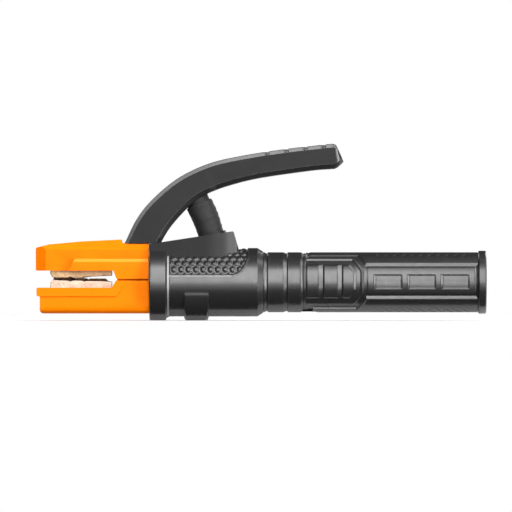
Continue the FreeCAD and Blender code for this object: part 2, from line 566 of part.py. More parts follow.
def lever_cover():
    """Moulded cover of the lever, with thumb grooves on top and the spring's seat underneath."""
    bar = lever_band(0, 1, LEVER_HALF, TIP)
    long_edges = [e for e in bar.Edges if e.Length > 60]
    bar = bar.makeChamfer(COVER_BEVEL, long_edges)
    seat = rod(SPRING_TOP, spring_up, SLEEVE_R - 0.4, 9.0)
    spigot = rod(SPRING_TOP, spring_down, SPRING_MEAN_R - SPRING_WIRE_R - 0.4, 4.5)
    cover = bar.fuse([seat, spigot])
    strip = lever_band(CORE_SHARES[0] - 0.02, CORE_SHARES[1] + 0.02, CORE_HALF + FIT, [],
                       LEVER_STATIONS[:-1] + [((-85.6, 73.4), (-84.2, 60.1))])
    neck_room = slab([(-192.0, 18.0), (-188.5, 25.3), (-177.8, 26.4), (-170.0, 15.0)], CORE_HALF + FIT)
    grooves = [cross_bar(x, top_height(x) + 0.5, 1.1, 12) for x in THUMB_GROOVE_X]
    return cover.cut([strip, neck_room] + grooves)


def top_height(x):
    """Height of the lever's nearly straight upper edge behind the last bend."""
    (x0, z0), (x1, z1) = LEVER_STATIONS[4][0], LEVER_STATIONS[6][0]
    return z0 + (z1 - z0) * (x - x0) / (x1 - x0) + 0.35


# ---------------------------------------------------------------- export
NODES = {
    "conductor_body": conductor_body(),
    "lower_jaw": lower_jaw(),
    "lower_jaw_screws": lower_jaw_screws(),
    "cable_socket": cable_socket(),
    "clamp_screw_front": clamp_screw(CLAMP_SCREW_X[0]),
    "clamp_screw_rear": clamp_screw(CLAMP_SCREW_X[1]),
    "pivot_pin": pivot_pin(),
    "pivot_rings": pivot_rings(),
    "pivot_washers": pivot_washers(),
    "pivot_bush": pivot_bush(),
    "head_housing": head_housing(),
    "housing_screw": housing_screw(),
    "handle_grip": handle_grip(),
    "handle_screw": handle_screw(),
    "lower_jaw_insulator": lower_jaw_insulator(),
    "lower_insulator_screw": lower_insulator_screw(),
    "spring_cup": spring_cup(),
    "lever_spring": lever_spring(),
    "spring_sleeve": spring_sleeve(),
    "upper_jaw": upper_jaw(),
    "upper_jaw_screws": upper_jaw_screws(),
    "lever_core": lever_core(),
    "upper_jaw_insulator": upper_jaw_insulator(),
    "upper_insulator_screw": upper_insulator_screw(),
    "lever_cover": lever_cover(),
}

os.makedirs("parts", exist_ok=True)
for name, shape in NODES.items():
    shape.exportStep(f"parts/{name}.step")
    print(f"{name:24s} solids {len(shape.Solids)}  valid {shape.isValid()}  volume {shape.Volume:9.1f}")
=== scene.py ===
"""Looks of the welding electrode holder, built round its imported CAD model.

Shapes are worked out in millimetres in the CAD model's own frame (X along the handle, Z up towards the lever)
and become metres when their mesh is made. The electrode grooves differ from those of the CAD jaws, which are
the ones that the electrode_grip mount goes with.
"""

import math

import bmesh
import bpy
import numpy as np
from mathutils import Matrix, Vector, noise


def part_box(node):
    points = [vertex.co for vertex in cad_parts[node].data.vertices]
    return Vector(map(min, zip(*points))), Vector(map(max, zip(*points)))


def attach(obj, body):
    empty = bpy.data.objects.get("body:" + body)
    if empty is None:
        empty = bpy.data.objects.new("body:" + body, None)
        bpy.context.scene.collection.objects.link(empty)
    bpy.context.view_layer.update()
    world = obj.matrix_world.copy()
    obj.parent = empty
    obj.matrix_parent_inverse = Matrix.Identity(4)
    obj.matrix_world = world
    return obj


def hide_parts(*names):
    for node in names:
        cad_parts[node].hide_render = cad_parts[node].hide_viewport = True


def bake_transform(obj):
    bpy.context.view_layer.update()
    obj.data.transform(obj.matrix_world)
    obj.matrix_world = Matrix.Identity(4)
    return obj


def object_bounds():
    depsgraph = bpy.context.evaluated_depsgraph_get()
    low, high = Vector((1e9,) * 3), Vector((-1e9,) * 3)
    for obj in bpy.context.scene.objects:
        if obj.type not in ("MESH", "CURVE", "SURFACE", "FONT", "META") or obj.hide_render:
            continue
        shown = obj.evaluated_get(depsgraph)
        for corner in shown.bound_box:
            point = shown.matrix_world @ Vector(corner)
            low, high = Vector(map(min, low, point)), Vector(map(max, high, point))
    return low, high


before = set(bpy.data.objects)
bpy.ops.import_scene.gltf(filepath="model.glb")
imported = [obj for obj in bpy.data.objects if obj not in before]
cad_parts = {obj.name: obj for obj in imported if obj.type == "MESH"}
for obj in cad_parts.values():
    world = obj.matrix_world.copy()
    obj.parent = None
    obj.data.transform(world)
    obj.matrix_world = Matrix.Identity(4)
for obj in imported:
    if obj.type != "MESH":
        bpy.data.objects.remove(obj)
cad_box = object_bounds()

METRES = 0.001
scene = bpy.context.scene


# ---------------------------------------------------------------- places taken from the CAD model
def span(node):
    """Lowest and highest corner of a CAD node, in millimetres."""
    low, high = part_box(node)
    return np.array(low) / METRES, np.array(high) / METRES


def middle(node):
    low, high = span(node)
    return (low + high) / 2


head_low, head_high = span("head_housing")
HEAD_FRONT, HEAD_REAR = head_low[0], head_high[0]
HANDLE_FRONT = span("handle_grip")[0][0]
LIP_FRONT = span("upper_jaw_insulator")[0][0]
INSULATOR_REAR = span("upper_jaw_insulator")[1][0] + 0.25
JAW_FRONT, JAW_REAR = span("upper_jaw")[0][0], span("upper_jaw")[1][0]

BARREL_R = 18.25
COLLAR_R = 20.29
HANDLE_R = 16.0
SLOT_HALF = 9.7
SLEEVE_R = 7.3
HOUSING_SCREW = middle("housing_screw")
SPRING_FOOT = Vector((-147.0, 0, 26.4))
SPRING_TOP = Vector((-152.9, 0, 41.2))
SPRING_DOWN = (SPRING_FOOT - SPRING_TOP).normalized()
SPRING_BASE = SPRING_FOOT + SPRING_DOWN * 8.6
SEAT = SPRING_TOP - SPRING_DOWN * 1.1
SEAT_R = 6.2
SPRING_LENGTH = (SEAT - SPRING_BASE).length - 0.2


# ---------------------------------------------------------------- meshes
def new_piece(name, mesh):
    piece = bpy.data.objects.new(name, mesh)
    scene.collection.objects.link(piece)
    return piece


def mesh_from(name, points, faces):
    """Object from points in millimetres, with its faces turned outwards."""
    mesh = bpy.data.meshes.new(name)
    corners = (np.asarray(points, dtype=float) * METRES).tolist()
    mesh.from_pydata(corners, [], [list(map(int, face)) for face in faces])
    work = bmesh.new()
    work.from_mesh(mesh)
    bmesh.ops.recalc_face_normals(work, faces=work.faces)
    work.to_mesh(mesh)
    work.free()
    return new_piece(name, mesh)


def grid_piece(name, rings, closed):
    """Skin over rings of points. closed joins the last ring to the first, otherwise both ends get a cap."""
    count, around = rings.shape[:2]
    index = np.arange(count * around).reshape(count, around)
    first = index if closed else index[:-1]
    second = np.roll(index, -1, axis=0) if closed else index[1:]
    quads = np.stack([first, np.roll(first, -1, axis=1), np.roll(second, -1, axis=1), second], axis=-1)
    faces = quads.reshape(-1, 4).tolist()
    if not closed:
        faces += [index[0].tolist(), index[-1].tolist()]
    return mesh_from(name, rings.reshape(-1, 3), faces)


def prism(name, outline, shift):
    """Solid between a flat outline and the same outline moved by shift."""
    outline = np.asarray(outline, dtype=float)
    count = len(outline)
    points = np.vstack([outline, outline + np.asarray(shift, dtype=float)])
    sides = [(k, (k + 1) % count, (k + 1) % count + count, k + count) for k in range(count)]
    return mesh_from(name, points, sides + [range(count), range(count, 2 * count)])


def side_prism(outline, half, name="cutter"):
    """Prism across the holder, from an outline in X and Z."""
    return prism(name, [(x, -half, z) for x, z in outline], (0, 2 * half, 0))


def plan_prism(outline, low, high, name="cutter"):
    """Upright prism, from an outline in X and Y."""
    return prism(name, [(x, y, low) for x, y in outline], (0, 0, high - low))


def long_prism(outline, start, end, name="cutter"):
    """Prism along the holder, from an outline in Y and Z."""
    return prism(name, [(start, y, z) for y, z in outline], (end - start, 0, 0))


def box_piece(x0, x1, half, z0, z1, name="cutter"):
    return side_prism([(x0, z0), (x1, z0), (x1, z1), (x0, z1)], half, name)


def rod(start, direction, radius, length, end_radius=None, sides=64, name="cutter"):
    """Round bar or cone."""
    start, direction = Vector(start), Vector(direction).normalized()
    across = direction.orthogonal().normalized()
    other = direction.cross(across)
    turn = [2 * math.pi * k / sides for k in range(sides)]
    rings = []
    for reach, size in ((0, radius), (length, radius if end_radius is None else end_radius)):
        centre = start + direction * reach
        rings.append([centre + (across * math.cos(a) + other * math.sin(a)) * size for a in turn])
    return grid_piece(name, np.array(rings), closed=False)


def rounded(outline, radii, steps=6):
    """Outline with each corner turned into an arc. radii is one radius or one for each corner."""
    outline = [Vector(p) for p in outline]
    radii = [radii] * len(outline) if isinstance(radii, (int, float)) else radii
    points = []
    for k, (corner, radius) in enumerate(zip(outline, radii)):
        before, after = outline[k - 1] - corner, outline[(k + 1) % len(outline)] - corner
        half_angle = before.angle(after) / 2
        if radius <= 0 or half_angle > math.radians(88):
            points.append(tuple(corner))
            continue
        reach = min(radius / math.tan(half_angle), 0.49 * before.length, 0.49 * after.length)
        start, end = corner + before.normalized() * reach, corner + after.normalized() * reach
        for step in range(steps + 1):
            t = step / steps
            points.append(tuple(start * (1 - t) ** 2 + corner * 2 * t * (1 - t) + end * t ** 2))
    return points


def smooth_line(points, per_span=8):
    """Catmull-Rom curve through points."""
    points = np.asarray(points, dtype=float)
    padded = np.vstack([2 * points[0] - points[1], points, 2 * points[-1] - points[-2]])
    out = []
    for a, b, c, d in zip(padded, padded[1:], padded[2:], padded[3:]):
        for t in np.arange(per_span) / per_span:
            square, cube = (2 * a - 5 * b + 4 * c - d) * t**2, (3 * b - a - 3 * c + d) * t**3
            out.append(0.5 * (2 * b + (c - a) * t + square + cube))
    return [tuple(p) for p in out] + [tuple(points[-1])]


def settle(piece):
    """Applies the piece's modifiers to its mesh."""
    bpy.context.view_layer.update()
    result = bpy.data.meshes.new_from_object(piece.evaluated_get(bpy.context.evaluated_depsgraph_get()))
    piece.modifiers.clear()
    piece.data = result
    return piece


def combine(piece, other, how="DIFFERENCE"):
    """Boolean of two closed pieces. The other piece is used up."""
    join = piece.modifiers.new("join", "BOOLEAN")
    join.operation, join.object, join.solver = how, other, "MANIFOLD"
    settle(piece)
    bpy.data.objects.remove(other)
    return piece


def cut(piece, *others):
    for other in others:
        combine(piece, other)
    return piece


def soften(piece, width, segments=3, angle=28):
    """Rounds the edges that turn by more than angle."""
    work = bmesh.new()
    work.from_mesh(piece.data)
    bmesh.ops.remove_doubles(work, verts=work.verts, dist=1e-6)
    bmesh.ops.dissolve_limit(work, angle_limit=math.radians(0.6), verts=work.verts, edges=work.edges)
    work.to_mesh(piece.data)
    work.free()
    bevel = piece.modifiers.new("bevel", "BEVEL")
    bevel.width, bevel.segments, bevel.limit_method = width * METRES, segments, "ANGLE"
    bevel.angle_limit, bevel.harden_normals, bevel.use_clamp_overlap = math.radians(angle), False, True
    return settle(piece)


def grain(piece, chosen):
    """Material number of every face, chosen from the faces' mean corners (in millimetres) and normals."""
    count = len(piece.data.polygons)
    centres, normals = np.zeros(3 * count), np.zeros(3 * count)
    piece.data.polygons.foreach_get("center", centres)
    piece.data.polygons.foreach_get("normal", normals)
    kinds = chosen(centres.reshape(-1, 3).T / METRES, normals.reshape(-1, 3).T)
    piece.data.polygons.foreach_set("material_index", np.asarray(kinds).astype(np.int32))
    return piece


def shade(piece, angle=32, flat_faces=False):
    """Smooth shading with sharp edges. flat_faces keeps large faces flat next to small rounded ones."""
    piece.data.shade_smooth()
    piece.data.set_sharp_from_angle(angle=math.radians(angle))
    if flat_faces:
        weighted = piece.modifiers.new("weighted", "WEIGHTED_NORMAL")
        weighted.keep_sharp, weighted.weight = True, 90
        settle(piece)
    return piece


def dress(piece, body, nodes, slot, *materials):
    """Final materials, body and CAD nodes of a finished piece."""
    kinds = np.zeros(len(piece.data.polygons), dtype=np.int32)
    piece.data.polygons.foreach_get("material_index", kinds)
    piece.data.materials.clear()
    for material in materials:
        piece.data.materials.append(material)
    piece.data.polygons.foreach_set("material_index", np.minimum(kinds, len(materials) - 1))
    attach(piece, body)
    if nodes:
        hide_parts(*nodes)
    return piece


# ---------------------------------------------------------------- smooth height maths
def ease(value):
    value = np.clip(value, 0, 1)
    return value * value * (3 - 2 * value)


def line_distance(u, v, line, closed=False):
    """Distance from each point to a polyline."""
    line = np.asarray(line, dtype=float)
    ends = np.roll(line, -1, axis=0) if closed else line[1:]
    best = np.full(np.broadcast(u, v).shape, 1e9)
    for (x0, y0), (x1, y1) in zip(line, ends):
        dx, dy = x1 - x0, y1 - y0
        t = np.clip(((u - x0) * dx + (v - y0) * dy) / max(dx * dx + dy * dy, 1e-12), 0, 1)
        best = np.minimum(best, np.hypot(u - x0 - t * dx, v - y0 - t * dy))
    return best


def inside_distance(u, v, outline):
    """Distance to an outline, positive inside it."""
    inside = np.zeros(np.broadcast(u, v).shape, dtype=bool)
    outline = np.asarray(outline, dtype=float)
    for (x0, y0), (x1, y1) in zip(outline, np.roll(outline, -1, axis=0)):
        if y0 != y1:
            crosses = (y0 > v) != (y1 > v)
            inside ^= crosses & (u < (x1 - x0) * (v - y0) / (y1 - y0) + x0)
    return np.where(inside, 1, -1) * line_distance(u, v, outline, closed=True)


def sunk(distance, depth, wall=0.4):
    """Depth below the surface for a recess whose edge is that far away."""
    return depth * ease(distance / wall + 0.5)


def bead(distance, height, half):
    return height * ease(1.15 * (1 - distance / half))


def saw_notch(x, start, end, depth, wall=0.3):
    """Notch that slopes down from start to end and comes back up steeply."""
    slope = np.clip((x - start) / (end - start), 0, 1)
    back = np.clip((x - end) / wall, 0, 1)
    return depth * np.where(x < end, slope, 1 - back)


def spaced(*stretches):
    """Increasing positions: each stretch is start, end and the step within it."""
    out = []
    for start, end, step in stretches:
        out.append(np.linspace(start, end, max(2, round((end - start) / step) + 1)))
    return np.unique(np.round(np.concatenate(out), 5))


def unrolled(z, radius):
    """Distance round a cylinder from its side to a height, for a height seen from the side."""
    return radius * np.arcsin(np.clip(np.asarray(z) / radius, -1, 1))


def unroll_outline(outline, radius):
    return [(x, float(unrolled(z, radius))) for x, z in outline]


def turned_rings(xs, angles, radii):
    """Rings of points round the X axis. angles run from the +Y side upwards."""
    x, angle = np.meshgrid(xs, angles, indexing="ij")
    return np.stack([x, radii * np.cos(angle), radii * np.sin(angle)], axis=-1)


def side_reach(angles, radius):
    """For each angle, the distance round the surface from the nearest side's middle line, upwards."""
    return radius * np.arcsin(np.sin(angles))


# ---------------------------------------------------------------- materials
class Surface:
    """A Principled material under construction."""

    def __init__(self, name, base, roughness, metallic=0.0, specular=0.5):
        self.material = bpy.data.materials.new(name)
        self.material.use_nodes = True
        self.tree = self.material.node_tree
        self.shader = self.tree.nodes["Principled BSDF"]
        self.shader.inputs["Base Color"].default_value = (*base, 1)
        self.shader.inputs["Roughness"].default_value = roughness
        self.shader.inputs["Metallic"].default_value = metallic
        self.shader.inputs["Specular IOR Level"].default_value = specular
        self.place = self.add("ShaderNodeTexCoord").outputs["Object"]
        self.bumps = None

    def add(self, kind, inputs=None, **settings):
        node = self.tree.nodes.new(kind)
        for key, value in settings.items():
            setattr(node, key, value)
        for key, value in (inputs or {}).items():
            if isinstance(value, bpy.types.NodeSocket):
                self.tree.links.new(value, node.inputs[key])
            else:
                node.inputs[key].default_value = value
        return node

    def noise(self, size_mm, detail=3.0, stretch=None, roughness=0.55):
        """Noise whose blobs are about size_mm across."""
        place = self.place
        if stretch:
            place = self.add("ShaderNodeMapping", {"Vector": place, "Scale": stretch}).outputs["Vector"]
        settings = {"Vector": place, "Detail": detail, "Roughness": roughness}
        settings["Scale"] = 1 / (size_mm * METRES)
        return self.add("ShaderNodeTexNoise", settings).outputs["Fac"]

    def ramp(self, value, low, high, out_low=0.0, out_high=1.0):
        settings = {"Value": value, "From Min": low, "From Max": high, "To Min": out_low, "To Max": out_high}
        return self.add("ShaderNodeMapRange", settings).outputs["Result"]

    def mix(self, share, first, second):
        """Colour between two colours, each a tuple or a socket."""
        node = self.add("ShaderNodeMix", data_type="RGBA")
        for socket, value in ((node.inputs[0], share), (node.inputs[6], first), (node.inputs[7], second)):
            if isinstance(value, bpy.types.NodeSocket):
                self.tree.links.new(value, socket)
            elif isinstance(value, tuple):
                socket.default_value = (*value, 1)
            else:
                socket.default_value = value
        return node.outputs[2]

    def colour(self, socket):
        self.tree.links.new(socket, self.shader.inputs["Base Color"])

    def roughness(self, value, low, high):
        self.tree.links.new(self.ramp(value, 0.3, 0.7, low, high), self.shader.inputs["Roughness"])

    def bump(self, height, depth_mm, strength=1.0):
        settings = {"Height": height, "Distance": depth_mm * METRES, "Strength": strength}
        if self.bumps:
            settings["Normal"] = self.bumps
        self.bumps = self.add("ShaderNodeBump", settings).outputs["Normal"]
        self.tree.links.new(self.bumps, self.shader.inputs["Normal"])

    def rounded_edges(self, radius_mm):
        self.bumps = self.add("ShaderNodeBevel", {"Radius": radius_mm * METRES}, samples=4).outputs["Normal"]

    def edge_wear_and_highlight(self):
        """1 on outward edges, 0 elsewhere."""
        pointed = self.add("ShaderNodeNewGeometry").outputs["Pointiness"]
        return self.ramp(pointed, 0.52, 0.6)


def shades(base, factor):
    return tuple(min(1.0, c * factor) for c in base)


def moulded_plastic(name, base, roughness, grain_mm=0.45, edge=1.6, specular=0.5):
    """Satin moulded plastic: fine grain, faint mottling, and outward edges painted lighter, partly as wear
    and partly as a painted highlight.
    """
    s = Surface(name, base, roughness, specular=specular)
    s.rounded_edges(0.25)
    mottle = s.noise(14, 4)
    body = s.mix(s.ramp(mottle, 0.35, 0.65), shades(base, 0.93), shades(base, 1.08))
    # Outward edges take base times edge: partly wear, partly a painted highlight along the edges.
    s.colour(s.mix(s.edge_wear_and_highlight(), body, shades(base, edge)))
    s.roughness(s.noise(5, 5), roughness - 0.025, roughness + 0.03)
    s.bump(s.noise(grain_mm, 2), 0.01, 0.3)
    s.bump(s.noise(9, 1), 0.02, 0.15)
    return s.material


def rubber(name, base):
    s = Surface(name, base, 0.62, specular=0.25)
    dust = s.noise(5, 5)
    s.colour(s.mix(s.ramp(dust, 0.45, 0.75), base, shades(base, 1.5)))
    s.roughness(s.noise(2, 4), 0.55, 0.7)
    s.bump(s.noise(0.5, 3), 0.02, 0.4)
    s.bump(s.noise(3.0, 3, stretch=(1, 1, 2.2)), 0.12, 0.5)
    return s.material


def cast_metal(name, base, dark, roughness, grain_mm=0.9, depth_mm=0.05):
    """Cast copper alloy with a granular skin and darker tarnish blotches."""
    s = Surface(name, base, roughness, metallic=1.0)
    blotch = s.noise(4.5, 5)
    grain = s.noise(grain_mm, 4)
    skin = s.mix(s.ramp(blotch, 0.38, 0.66), dark, base)
    s.colour(s.mix(s.ramp(grain, 0.42, 0.62), skin, shades(base, 1.12)))
    s.roughness(grain, roughness - 0.08, roughness + 0.14)
    s.bump(grain, depth_mm, 0.7)
    s.bump(s.noise(0.3, 2), 0.01, 0.5)
    return s.material


def turned_metal(name, base, roughness, axis_scale=(1, 1, 12)):
    """Machined or plated metal: fine lathe lines and a little tarnish."""
    s = Surface(name, base, roughness, metallic=1.0)
    lines = s.noise(0.7, 2, stretch=axis_scale)
    stain = s.noise(3.0, 5)
    s.colour(s.mix(s.ramp(stain, 0.45, 0.75), base, shades(base, 0.72)))
    s.roughness(lines, roughness - 0.06, roughness + 0.1)
    s.bump(lines, 0.006, 0.5)
    return s.material


GREY = (0.015, 0.015, 0.0155)
ORANGE = (0.86, 0.184, 0.0)
# The edge factors paint the outward edges lighter: partly wear, partly a painted edge highlight.
grey_plastic = moulded_plastic("grey_plastic", GREY, 0.29, edge=2.2, specular=0.8)
grey_grain = moulded_plastic("grey_grain", GREY, 0.62, grain_mm=0.6, edge=1.2, specular=0.22)
orange_plastic = moulded_plastic("orange_plastic", ORANGE, 0.5, edge=1.1, specular=0.05)
# Lighter, yellower orange for the upper insulator's ledge chamfer: a painted highlight.
orange_painted_highlight = moulded_plastic("orange_painted_highlight", (0.88, 0.26, 0.004), 0.4, edge=1.1, specular=0.16)
sleeve_rubber = rubber("sleeve_rubber", (0.017, 0.017, 0.018))
jaw_copper = cast_metal("jaw_copper", (0.54, 0.38, 0.22), (0.36, 0.23, 0.12), 0.48)
# Near-black copper on the jaws' facing faces: painted shade for the narrow gap between the jaws.
painted_shade_copper = cast_metal("painted_shade_copper", (0.15, 0.085, 0.045), (0.05, 0.03, 0.02), 0.6)
bright_copper = cast_metal("bright_copper", (0.58, 0.45, 0.36), (0.42, 0.3, 0.23), 0.48)
cast_brass = cast_metal("cast_brass", (0.78, 0.62, 0.36), (0.5, 0.38, 0.2), 0.4)
bronze = turned_metal("bronze", (0.66, 0.44, 0.22), 0.35)
zinc_steel = turned_metal("zinc_steel", (0.62, 0.62, 0.6), 0.3)
pin_steel = turned_metal("pin_steel", (0.56, 0.56, 0.57), 0.25)
spring_steel = turned_metal("spring_steel", (0.3, 0.3, 0.31), 0.35)
black_steel = turned_metal("black_steel", (0.035, 0.035, 0.036), 0.45)
# Light grey plastic on the lip along the grip patches and on the step behind the collar: painted highlight
# lines.
painted_highlight_plastic = moulded_plastic("painted_highlight_plastic", (0.2, 0.2, 0.2), 0.35, edge=1.1, specular=0.8)


# ---------------------------------------------------------------- head housing
RAMP_HALF = 11.3
RAMP_REAR = -132.4
PATCH_FRONT = HEAD_FRONT + 10.6
PATCH_DEPTH = 0.9
STUD_PITCH, STUD_ROW = 3.9, 3.8
STUD_X, STUD_REACH = -166.3, 7.3
RAMP_RUBBED = (-150.0, -138.0)
BOSS_FRONT, BOSS_REAR = -161.1, -147.8
BOSS_FOOT = 20.3  # distance of the boss's flat foot from the handle's axis
LIP_AT = -0.35  # where the raised lip runs, from the grip patch's border
LIP_HALF = 0.34
LIP_REAR, LIP_TOP = -135.8, 8.0
STEP_FRONT, STEP_REAR = -169.95, -169.0


def head_radii(xs, angles):
    """Radius of the collar and barrel, with the grip patches and the screw boss."""
    x, angle = np.meshgrid(xs, angles, indexing="ij")
    profile = [(HEAD_FRONT, COLLAR_R - 0.5), (HEAD_FRONT + 0.5, COLLAR_R), (-170.9, COLLAR_R),
               (-170.2, COLLAR_R - 1.3), (PATCH_FRONT + 0.2, BARREL_R + 0.03),
               (-168.4, BARREL_R), (-121.9, BARREL_R),
               (HEAD_REAR, HANDLE_R + 0.3)]
    radii = np.interp(x, *zip(*profile))
    low = np.maximum(0, (-np.sin(angle) - 0.3) / 0.7)
    flat_foot = BOSS_FOOT / np.maximum(-np.sin(angle), 0.5) - BARREL_R
    drop = np.minimum(0.3 * ease(low / 0.1) + 2.6 * low ** 1.4, flat_foot)
    across = np.minimum(x - BOSS_FRONT, BOSS_REAR - x)
    radii = radii + np.minimum(drop * ease(across / 0.5), np.maximum(0, 1.0 + 1.1 * across))
    reach = side_reach(angle, BARREL_R)
    distance = patch_distance(x, reach)
    radii = radii - sunk(distance - 0.3, PATCH_DEPTH, 0.8)
    radii = radii + bead(np.abs(distance - LIP_AT), 0.14, 0.6) * (x > PATCH_FRONT)
    row = np.round((reach - STUD_REACH) / STUD_ROW)
    along = (x - STUD_X) / STUD_PITCH - 0.5 * (row % 2)
    return radii + studs(reach, along, row) * ease((distance - 0.3) / 0.5)


def patch_distance(x, reach):
    """Distance to the border of the grip patch, positive inside it."""
    top = math.pi / 2 * BARREL_R + 1
    outline = unroll_outline([(PATCH_FRONT, 3.7), (-136.3, 3.7), (-133.3, 4.5), (-130.7, 6.2), (-128.7, 9.6),
                              (-127.4, 12.6), (-126.8, 17.4)], BARREL_R)
    return inside_distance(x, reach, outline + [(-126.8, top), (PATCH_FRONT, top)])


def studs(reach, along, row):
    """Height of the hexagonal studs of the grip patch, in staggered rows."""
    height = np.zeros_like(reach)
    for step in (-1, 0, 1):
        nearby = row + step
        shifted = along if step == 0 else along + 0.5
        dx = np.abs(shifted - np.round(shifted)) * STUD_PITCH
        dy = np.abs(reach - STUD_REACH - nearby * STUD_ROW) * 3.29 / STUD_ROW
        away = np.maximum(dx, 0.5 * dx + 0.866 * dy)
        height = np.maximum(height, 0.8 * ease(1.3 * (1 - away / 1.9)))
    return height


def make_head_housing():
    xs = spaced((HEAD_FRONT, HEAD_FRONT + 0.6, 0.12), (HEAD_FRONT + 0.6, -171.1, 1.4),
                (-171.1, PATCH_FRONT, 0.15), (PATCH_FRONT, -126.8, 0.3), (-161.4, -159.7, 0.12),
                (-149.2, -147.5, 0.12), (-126.8, -121.9, 0.8), (-121.9, HEAD_REAR, 0.5))
    fine_start = unrolled(2.4, BARREL_R) / BARREL_R
    fine = np.linspace(fine_start, math.pi - fine_start, 184)
    coarse = np.linspace(math.pi - fine_start, 2 * math.pi + fine_start, 92)[1:-1]
    angles = np.concatenate([fine, coarse])
    shell = grid_piece("head_shell", turned_rings(xs, angles, head_radii(xs, angles)), closed=False)

    profile = rounded([(HEAD_FRONT, 2.0), (HEAD_FRONT, 20.4), (-134.7, 27.25), (-131.8, 17.2), (-131.2, 2.0)],
                      [0, 0.4, 1.0, 0, 0])
    ramp = side_prism(profile, RAMP_HALF, "ramp")
    plan = rounded([(HEAD_FRONT - 1, -RAMP_HALF), (-141.8, -RAMP_HALF), (RAMP_REAR + 1.2, -6.8),
                    (RAMP_REAR + 1.2, 6.8), (-141.8, RAMP_HALF), (HEAD_FRONT - 1, RAMP_HALF)],
                   [0, 26.0, 4.5, 4.5, 26.0, 0], steps=10)
    combine(ramp, plan_prism(plan, 0, 40), "INTERSECT")
    soften(ramp, 0.55, 3, angle=35)
    combine(shell, ramp, "UNION")

    foot = SPRING_FOOT
    cut(shell,
        box_piece(HEAD_FRONT - 1, -162.0, SLOT_HALF, -11.2, 40),
        rod((-172, 0, 0), (1, 0, 0), 12.5, 60),
        rod((HEAD_REAR - 10.3, 0, 0), (1, 0, 0), 15.1, 20, sides=96),
        rod(foot - SPRING_DOWN * 12, SPRING_DOWN, 8.0, 12 + 9.8),
        rod(foot - SPRING_DOWN * 4, SPRING_DOWN, 9.6, 4.2, end_radius=8.0),
        rod((HOUSING_SCREW[0], 0, -24), (0, 0, 1), 2.6, 14),
        rod((HOUSING_SCREW[0], 0, -24), (0, 0, 1), 4.6, 7.4))
    return grain(shade(shell, 30, flat_faces=True), head_finish_and_highlight)


def head_finish_and_highlight(at, normal):
    """1 on the ramp's sides and rear, 2 on the lines behind the collar and along the grip patches, which are
    painted lighter as a highlight.
    """
    x, y, z = at
    away = np.hypot(y, z)
    flat = (np.abs(normal[1]) > 0.98) & (np.abs(np.abs(y) - RAMP_HALF) < 0.05)
    rear = (z > 5) & (x > PATCH_FRONT) & (away > BARREL_R + 0.4)
    outside = away > BARREL_R - 0.35
    reach = BARREL_R * np.arcsin(np.clip(z / away, -1, 1))
    # lip and step pick the faces that are painted light as highlight lines.
    lip = (np.abs(patch_distance(x, reach) - LIP_AT) < LIP_HALF) & outside
    lip &= (x > PATCH_FRONT) & (x < LIP_REAR) & (z < LIP_TOP)
    step = (x > STEP_FRONT) & (x < STEP_REAR) & outside & (z < 14)
    return np.where(flat | rear, 1, np.where(lip | step, 2, 0))


def ramp_plastic():
    """Grained on the ramp's flat sides, rubbed smoother towards its rounded rear."""
    s = Surface("ramp_plastic", GREY, 0.6, specular=0.36)
    s.colour(s.mix(s.ramp(s.noise(14, 4), 0.35, 0.65), shades(GREY, 0.93), shades(GREY, 1.08)))
    along = s.add("ShaderNodeSeparateXYZ", {"Vector": s.place}).outputs["X"]
    rubbed = s.ramp(along, RAMP_RUBBED[0] * METRES, RAMP_RUBBED[1] * METRES, 0.85, 0.34)
    s.tree.links.new(rubbed, s.shader.inputs["Roughness"])
    s.bump(s.noise(0.6, 2), 0.01, 0.3)
    return s.material


# ---------------------------------------------------------------- handle
RING_NOTCHES = [(-118.3, -116.8), (-108.3, -106.2), (-98.9, -97.4)]
RIB_NOTCHES = [(-89.6, -87.0), (-79.4, -77.0)]
SHELL_EDGE_TOP = [(-94.6, 15.9), (-94.6, 14.6), (-68.1, 14.6), (-64.3, 9.7), (-4.9, 9.7)]
SHELL_EDGE_LOW = [(-4.9, -8.3), (-63.9, -8.3), (-69.0, -14.3), (-92.5, -14.3), (-92.5, -15.9)]
BORDER = [(-95.6, 15.9), (-95.6, 12.7), (-71.2, 12.7), (-66.3, 6.2), (-66.3, -5.8), (-70.8, -11.7),
          (-95.6, -11.7), (-95.6, -15.9)]
RIB_PLATE = [(-96.9, 10.2), (-72.8, 10.2), (-69.3, 5.7), (-69.3, -4.5), (-72.8, -9.2), (-96.9, -9.2)]
PANEL = [(-63.9, 8.9), (-5.2, 8.9), (-5.2, -7.1), (-63.9, -7.1)]
POCKETS = [(-59.5, -45.2), (-41.6, -27.3), (-23.8, -9.5)]
POCKET_LOW, POCKET_HIGH = -3.5, 4.1
BARS_LOW, BARS_HIGH = 16.5, 22.5
BAR_PITCH, BAR_SLANT = 4.6, 0.55
ZONE_DEPTH = 0.85
RIM_FRONT = -4.4
RIM_R = 16.8


